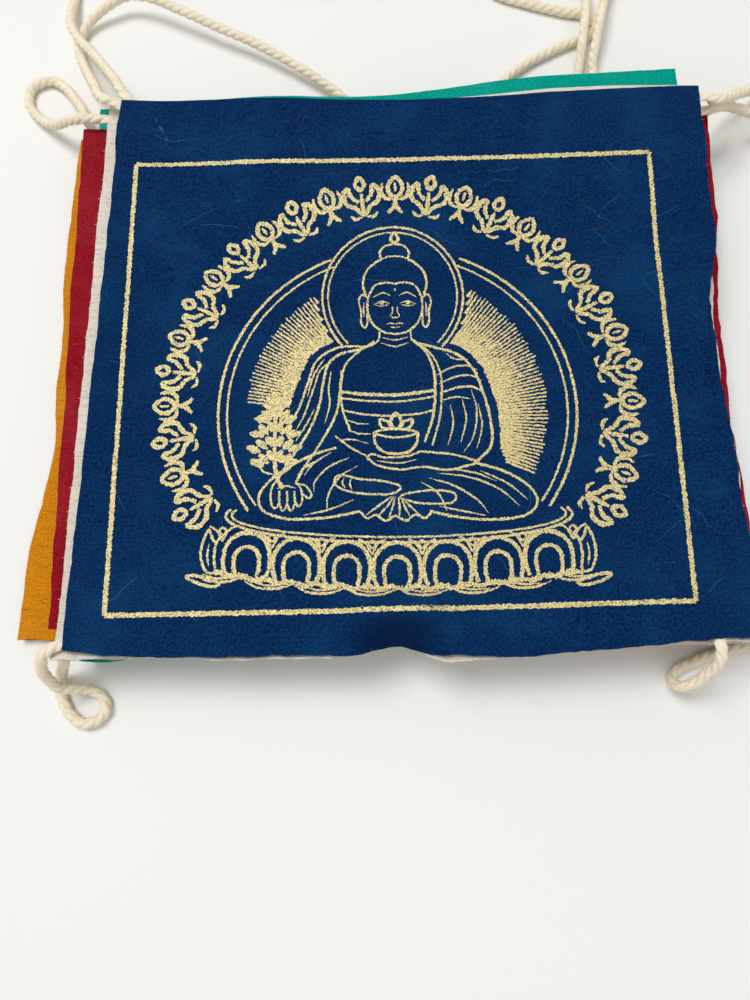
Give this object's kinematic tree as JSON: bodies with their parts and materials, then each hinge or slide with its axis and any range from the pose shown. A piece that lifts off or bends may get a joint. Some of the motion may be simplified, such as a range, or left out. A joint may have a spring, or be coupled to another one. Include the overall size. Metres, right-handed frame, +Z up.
{
  "type": "string of doubled handmade paper prayer flags, stacked flat with its cotton cords",
  "caption": "Square doubled sheets of handmade paper in the traditional colours, stacked flat and joined at the corners by twisted cotton cord, with a slack hanging cord behind.",
  "frame": {"origin": "on the surface the stack lies on, below the middle of the flags' box", "axes": "+X to the right along the flags' width, +Y towards their folded top edges, +Z up out of the printed face"},
  "size_m": [0.1617, 0.165, 0.0163],
  "materials": {
    "paper_blue": "handmade fibrous paper, dyed navy blue, printed in pale gold",
    "paper_white": "handmade fibrous paper, undyed",
    "paper_red": "handmade fibrous paper, dyed deep red",
    "paper_green": "handmade fibrous paper, dyed blue green",
    "paper_yellow": "handmade fibrous paper, dyed orange yellow",
    "cotton_cord": "undyed cotton, three yarns twisted together"
  },
  "bodies": {
    "root": {"flag_blue": "paper_blue", "flag_white": "paper_white", "flag_red": "paper_red", "flag_green": "paper_green", "flag_yellow": "paper_yellow", "cord_bail": "cotton_cord", "cord_tail": "cotton_cord", "tail_knot": "cotton_cord", "link_top_left": "cotton_cord", "link_top_right": "cotton_cord", "link_bottom_left": "cotton_cord", "link_bottom_right": "cotton_cord"}
  },
  "joints": []
}
